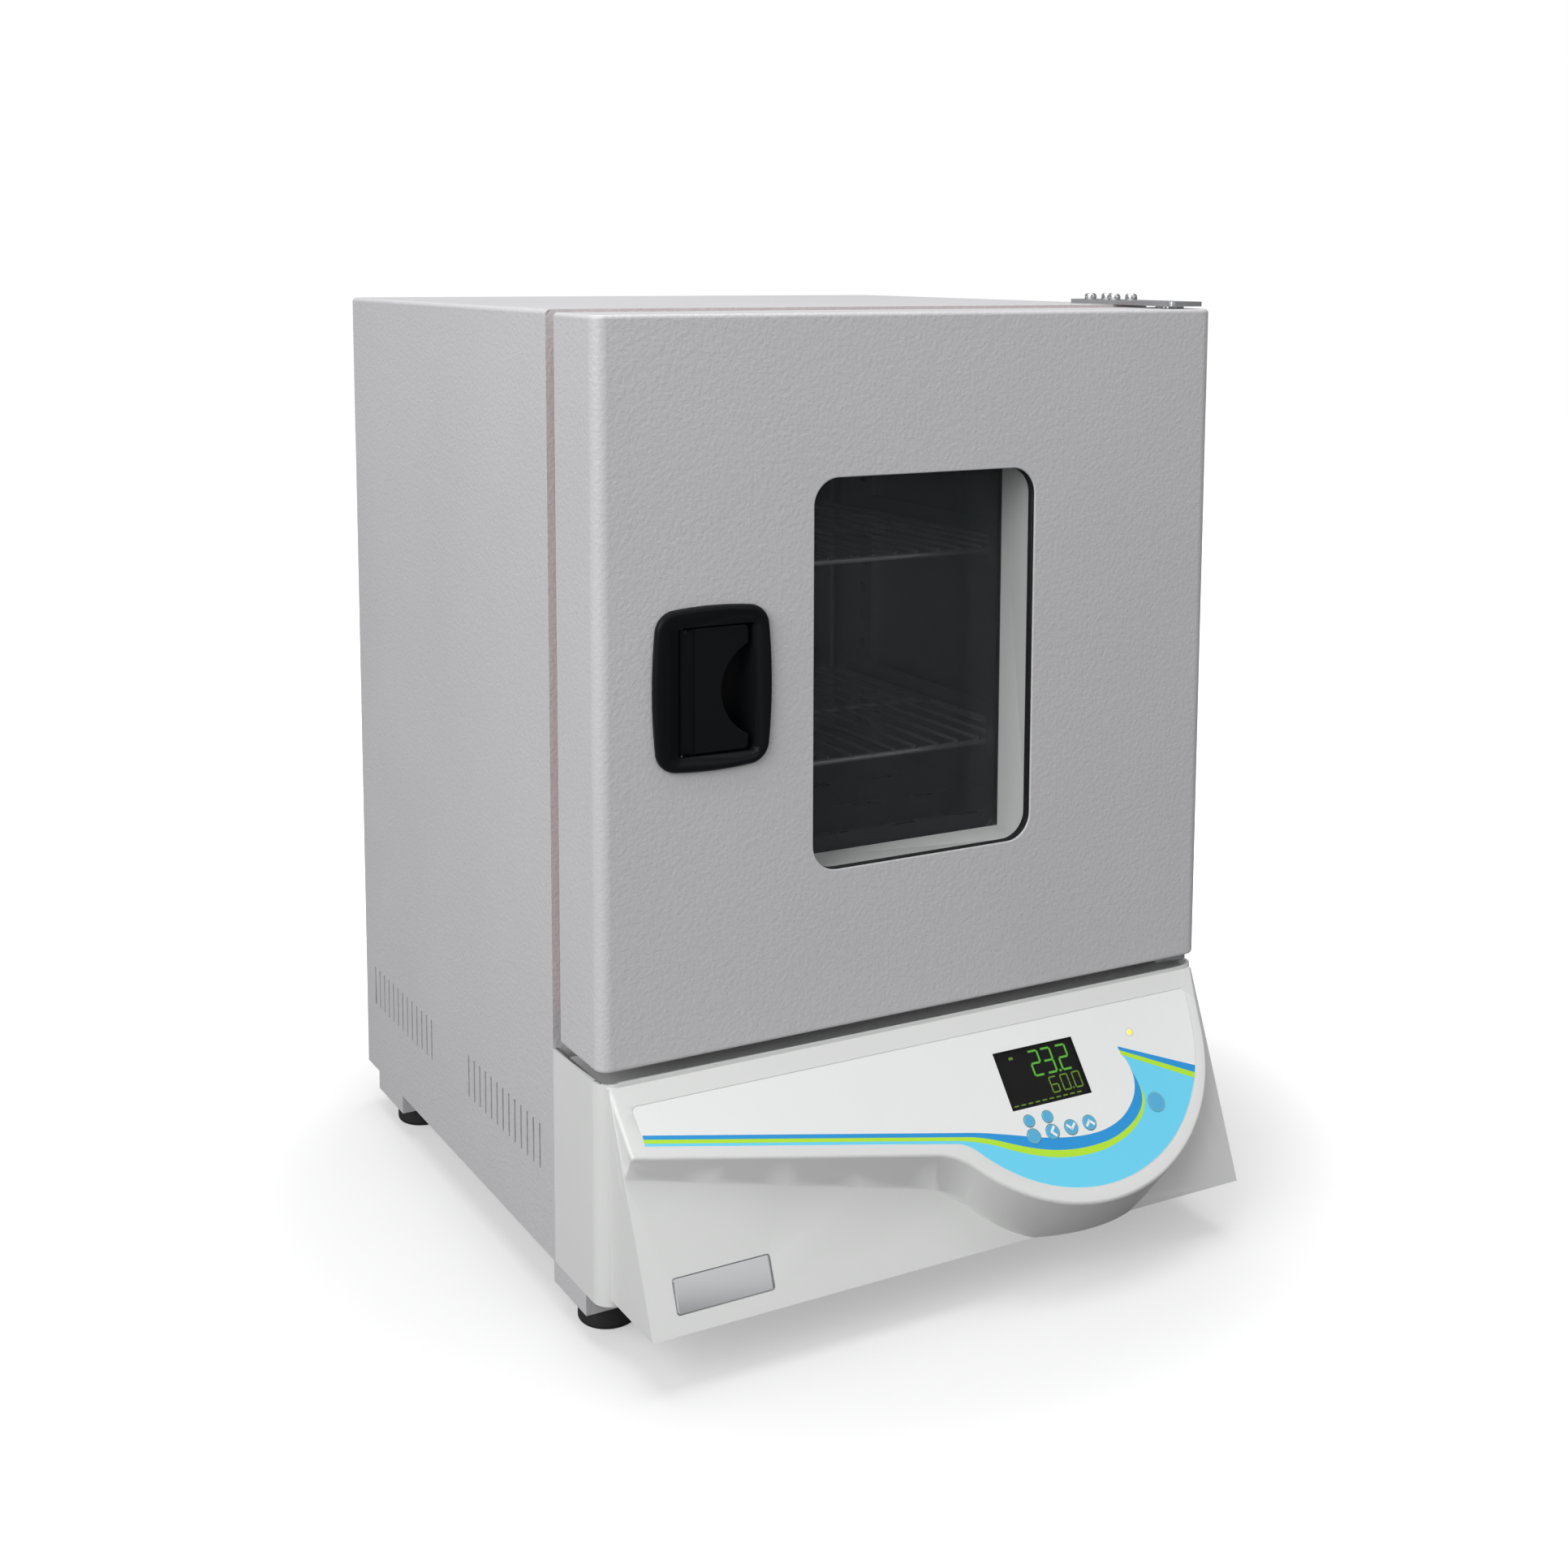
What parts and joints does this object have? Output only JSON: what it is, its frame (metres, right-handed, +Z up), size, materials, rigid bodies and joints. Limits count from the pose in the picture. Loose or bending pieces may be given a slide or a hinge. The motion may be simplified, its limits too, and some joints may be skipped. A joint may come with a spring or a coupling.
{
  "type": "laboratory oven",
  "caption": "Benchtop laboratory oven with a windowed door, recessed paddle handle, wire shelves and a sloping lobed control console",
  "frame": {"origin": "middle of the footprint at the level of the table", "axes": "+X right seen from the front, +Y toward the back, +Z up; the door and console face -Y"},
  "size_m": [0.43, 0.5215, 0.603],
  "materials": {
    "powder_coat": "off-white powder coat with fine orange peel",
    "stainless": "brushed stainless sheet",
    "zinc": "zinc plated sheet",
    "screw_steel": "nickel plated screws and pins",
    "moulding": "off-white moulded plastic, satin",
    "handle_black": "black moulded plastic, glossy",
    "film": "printed polyester membrane",
    "key_blue": "blue moulded keys",
    "silicone": "pinkish silicone rubber",
    "black_rubber": "black rubber",
    "black_plastic": "black moulded plastic",
    "reveal_grey": "light grey moulded frame",
    "clear_glass": "clear tempered glass",
    "display": "dark display face",
    "circuit_board": "green laminate with parts",
    "mineral_wool": "mineral wool slabs",
    "heat_steel": "heat darkened steel tube",
    "aluminium_black": "black anodised extrusion",
    "badge_metal": "satin metal plate, bare",
    "led_lens": "yellow diffusing lens"
  },
  "bodies": {
    "cabinet": {"outer_case": "powder_coat", "rear_cover": "powder_coat", "rear_cover_screws": "screw_steel", "bottom_plate": "powder_coat", "front_frame": "powder_coat", "inner_chamber": "stainless", "insulation": "mineral_wool", "divider_plate": "zinc", "heating_element": "heat_steel", "element_supports": "zinc", "chamber_floor_plate": "stainless", "temperature_probe": "stainless", "shelf_pilasters": "stainless", "shelf_runners": "stainless", "exhaust_duct": "zinc", "base_surround": "moulding", "console_fascia": "moulding", "membrane_overlay": "film", "display_window": "clear_glass", "display_module": "display", "indicator_led": "led_lens", "badge_plate": "badge_metal", "control_board": "circuit_board", "power_board": "circuit_board", "solid_state_relay": "black_plastic", "heat_sink": "aluminium_black", "mains_inlet": "black_plastic", "foot_brackets": "powder_coat", "feet": "black_rubber", "foot_screws": "screw_steel", "top_hinge_plate": "zinc", "lower_hinge_bracket": "zinc", "hinge_screws": "screw_steel", "hinge_pins": "screw_steel", "latch_keeper": "zinc"},
    "door": {"door_shell": "powder_coat", "door_inner_panel": "stainless", "door_insulation": "mineral_wool", "outer_glass": "clear_glass", "inner_glass": "clear_glass", "window_seal": "black_rubber", "window_reveal": "reveal_grey", "door_gasket": "silicone", "handle_bezel": "handle_black", "hinge_bushes": "screw_steel", "paddle_pin": "screw_steel"},
    "paddle": {"handle_paddle": "handle_black"},
    "latch": {"latch_tongue": "screw_steel"},
    "upper_shelf": {"shelf_upper": "stainless"},
    "lower_shelf": {"shelf_lower": "stainless"},
    "damper": {"exhaust_damper": "black_plastic"},
    "button_menu": {"key_menu": "key_blue"},
    "button_timer": {"key_timer": "key_blue"},
    "button_set": {"key_set": "key_blue"},
    "button_left": {"key_left": "key_blue"},
    "button_down": {"key_down": "key_blue"},
    "button_up": {"key_up": "key_blue"},
    "button_power": {"key_power": "key_blue"}
  },
  "joints": [
    {"name": "door_hinge", "type": "hinge", "parent": "cabinet", "child": "door", "pos_m": [0.2, -0.15433, 0.382], "axis": [0, 0, 1], "range_deg": [0, 120]},
    {"name": "paddle_hinge", "type": "hinge", "parent": "door", "child": "paddle", "pos_m": [-0.1625, -0.17733, 0.38275], "axis": [0, 0, -1], "range_deg": [0, 30], "stiffness_Nm_per_rad": 0.4},
    {"name": "latch_slide", "type": "slide", "parent": "door", "child": "latch", "axis": [1, 0, 0], "range_m": [0, 0.0059]},
    {"name": "upper_shelf_slide", "type": "slide", "parent": "cabinet", "child": "upper_shelf", "axis": [0, -1, 0], "range_m": [0, 0.025]},
    {"name": "lower_shelf_slide", "type": "slide", "parent": "cabinet", "child": "lower_shelf", "axis": [0, -1, 0], "range_m": [0, 0.025]},
    {"name": "damper_turn", "type": "hinge", "parent": "cabinet", "child": "damper", "pos_m": [0, 0.25167, 0.505], "axis": [0, 1, 0], "range_deg": [0, 60]},
    {"name": "button_menu_press", "type": "slide", "parent": "cabinet", "child": "button_menu", "axis": [0, 0.7771, -0.6293], "range_m": [0, 0.0005], "stiffness_N_per_m": 1500},
    {"name": "button_timer_press", "type": "slide", "parent": "cabinet", "child": "button_timer", "axis": [0, 0.7771, -0.6293], "range_m": [0, 0.0005], "stiffness_N_per_m": 1500},
    {"name": "button_set_press", "type": "slide", "parent": "cabinet", "child": "button_set", "axis": [0, 0.7771, -0.6293], "range_m": [0, 0.0005], "stiffness_N_per_m": 1500},
    {"name": "button_left_press", "type": "slide", "parent": "cabinet", "child": "button_left", "axis": [0, 0.7771, -0.6293], "range_m": [0, 0.0005], "stiffness_N_per_m": 1500},
    {"name": "button_down_press", "type": "slide", "parent": "cabinet", "child": "button_down", "axis": [0, 0.7771, -0.6293], "range_m": [0, 0.0005], "stiffness_N_per_m": 1500},
    {"name": "button_up_press", "type": "slide", "parent": "cabinet", "child": "button_up", "axis": [0, 0.7771, -0.6293], "range_m": [0, 0.0005], "stiffness_N_per_m": 1500},
    {"name": "button_power_press", "type": "slide", "parent": "cabinet", "child": "button_power", "axis": [0, 0.7771, -0.6293], "range_m": [0, 0.0005], "stiffness_N_per_m": 1500}
  ],
  "couplings": [
    {"joint": "latch_slide", "follows": "paddle_hinge", "m_per_rad": 0.0112}
  ]
}
